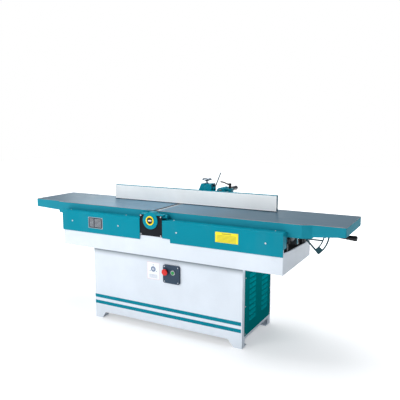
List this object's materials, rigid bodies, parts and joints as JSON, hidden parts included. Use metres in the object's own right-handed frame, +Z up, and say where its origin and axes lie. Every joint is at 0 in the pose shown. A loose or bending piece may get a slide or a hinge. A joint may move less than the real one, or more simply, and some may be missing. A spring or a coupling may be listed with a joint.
{
  "type": "surface planer",
  "caption": "Long-bed surface planer (jointer): cast tables on a cabinet stand, three-knife cutterhead, sliding and tilting fence, depth lever, motor drive and push-button switch.",
  "frame": {"origin": "on the floor at the centre of the rectangle of four anchor holes", "axes": "+X along the tables towards the infeed end, +Y away from the operator's side, +Z up"},
  "size_m": [2.4941, 0.7515, 1.0924],
  "materials": {
    "stand_paint": "semi-gloss off-white powder coat",
    "teal_paint": "semi-gloss teal enamel",
    "vent_paint": "dark teal enamel",
    "black_paint": "satin black enamel",
    "yellow_paint": "safety yellow enamel",
    "table_iron": "ground cast iron top, painted sides",
    "iron": "machined cast iron",
    "steel": "turned and ground steel",
    "dark_steel": "oiled dark steel",
    "fence_grey": "pale grey facing",
    "chrome": "polished chrome",
    "black_plastic": "moulded black plastic",
    "slate_plastic": "moulded slate grey plastic",
    "red_plastic": "moulded red plastic",
    "green_plastic": "moulded green plastic",
    "plate_metal": "dark anodised plate",
    "motor_grey": "grey machine enamel",
    "belt_rubber": "moulded black rubber"
  },
  "bodies": {
    "machine": {"bearing_cap_ring": "yellow_paint", "bearing_cover_plate": "black_paint", "bed_box": "stand_paint", "belt_guard": "teal_paint", "button_collars": "plate_metal", "cable_gland": "black_plastic", "chip_chute": "steel", "cover_screws": "steel", "cutter_bearings": "steel", "depth_quadrant": "vent_paint", "drive_belts": "belt_rubber", "fence_bracket": "teal_paint", "foot_pads": "stand_paint", "front_bearing_housing": "teal_paint", "left_cover": "teal_paint", "motor_body": "motor_grey", "motor_mount": "stand_paint", "outfeed_lip": "steel", "outfeed_lip_screws": "dark_steel", "outfeed_table": "table_iron", "panel_screws": "steel", "rating_plate": "plate_metal", "rear_bearing_housing": "teal_paint", "right_cover": "teal_paint", "stand_bottom_rail": "stand_paint", "stand_front_panel": "stand_paint", "stand_left_panel": "stand_paint", "stand_rear_panel": "stand_paint", "stand_top_plate": "stand_paint", "switch_box": "slate_plastic", "table_posts": "iron", "vent_panel": "vent_paint"},
    "infeed": {"infeed_table": "table_iron", "infeed_lip": "steel", "infeed_lip_screws": "dark_steel"},
    "lever": {"lever_shaft": "steel", "depth_lever": "steel", "lever_grip": "black_plastic"},
    "inner_eccentric": {"inner_shaft": "steel"},
    "link": {"shaft_link": "dark_steel"},
    "lock_knob": {"lever_lock_knob": "black_plastic"},
    "cutter": {"cutter_block": "steel", "planer_knives": "steel", "knife_wedges": "dark_steel", "cutter_pulley": "iron"},
    "motor_rotor": {"motor_shaft": "steel", "motor_pulley": "iron"},
    "carriage": {"fence_carriage": "teal_paint", "fence_guide_bar": "dark_steel"},
    "fence": {"fence_body": "teal_paint", "fence_face": "fence_grey", "tilt_quadrant": "teal_paint"},
    "bar_lever": {"bar_clamp_lever": "black_plastic"},
    "tilt_lever": {"tilt_clamp_hub": "teal_paint", "tilt_clamp_handle": "steel"},
    "handwheel": {"handwheel": "steel", "handwheel_rim": "chrome"},
    "plunger": {"index_plunger": "black_plastic"},
    "stop_button": {"stop_button": "red_plastic"},
    "start_button": {"start_button": "green_plastic"}
  },
  "joints": [
    {"name": "infeed_slide", "type": "slide", "parent": "machine", "child": "infeed", "axis": [0.866, 0, -0.5], "range_m": [0, 0.012]},
    {"name": "lever_hinge", "type": "hinge", "parent": "machine", "child": "lever", "pos_m": [0.868, 0, 0.743], "axis": [0, 1, 0], "range_deg": [0, 34]},
    {"name": "inner_shaft_hinge", "type": "hinge", "parent": "machine", "child": "inner_eccentric", "pos_m": [0.168, 0, 0.743], "axis": [0, 1, 0], "range_deg": [0, 34]},
    {"name": "link_hinge", "type": "hinge", "parent": "lever", "child": "link", "pos_m": [0.868, 0.014, 0.685], "axis": [0, 1, 0], "range_deg": [-34, 0]},
    {"name": "lock_knob_turn", "type": "hinge", "parent": "lever", "child": "lock_knob", "pos_m": [1.03544, 0.1, 0.73832], "axis": [0, 1, 0], "range_deg": [0, 120]},
    {"name": "cutter_spin", "type": "hinge", "parent": "machine", "child": "cutter", "pos_m": [-0.08, 0, 0.797], "axis": [0, 1, 0], "continuous": true},
    {"name": "motor_spin", "type": "hinge", "parent": "machine", "child": "motor_rotor", "pos_m": [-0.08, 0, 0.29], "axis": [0, 1, 0], "continuous": true},
    {"name": "fence_cross_slide", "type": "slide", "parent": "machine", "child": "carriage", "axis": [0, -1, 0], "range_m": [0, 0.165]},
    {"name": "fence_tilt", "type": "hinge", "parent": "carriage", "child": "fence", "pos_m": [0.108, 0.112, 0.8585], "axis": [1, 0, 0], "range_deg": [0, 45]},
    {"name": "bar_clamp_turn", "type": "hinge", "parent": "machine", "child": "bar_lever", "pos_m": [0.274, 0.24, 1], "axis": [0, 0, 1], "range_deg": [-60, 30]},
    {"name": "tilt_clamp_turn", "type": "hinge", "parent": "carriage", "child": "tilt_lever", "pos_m": [0.1715, 0.187, 0.977], "axis": [1, 0, 0], "range_deg": [-60, 15]},
    {"name": "handwheel_turn", "type": "hinge", "parent": "carriage", "child": "handwheel", "pos_m": [0.108, 0.187, 1.03], "axis": [0, 0, 1], "range_deg": [-180, 180]},
    {"name": "plunger_pull", "type": "slide", "parent": "carriage", "child": "plunger", "axis": [1, 0, 0], "range_m": [0, 0.008], "stiffness_N_per_m": 800, "springref_m": -0.004},
    {"name": "stop_press", "type": "slide", "parent": "machine", "child": "stop_button", "axis": [0, 1, 0], "range_m": [0, 0.006], "stiffness_N_per_m": 800, "springref_m": -0.004},
    {"name": "start_press", "type": "slide", "parent": "machine", "child": "start_button", "axis": [0, 1, 0], "range_m": [0, 0.004], "stiffness_N_per_m": 800, "springref_m": -0.004}
  ],
  "couplings": [
    {"joint": "lever_hinge", "follows": "infeed_slide", "rad_per_m": 49.451},
    {"joint": "inner_shaft_hinge", "follows": "infeed_slide", "rad_per_m": 49.451},
    {"joint": "link_hinge", "follows": "infeed_slide", "rad_per_m": -49.451},
    {"joint": "motor_spin", "follows": "cutter_spin", "ratio": 0.51724}
  ]
}
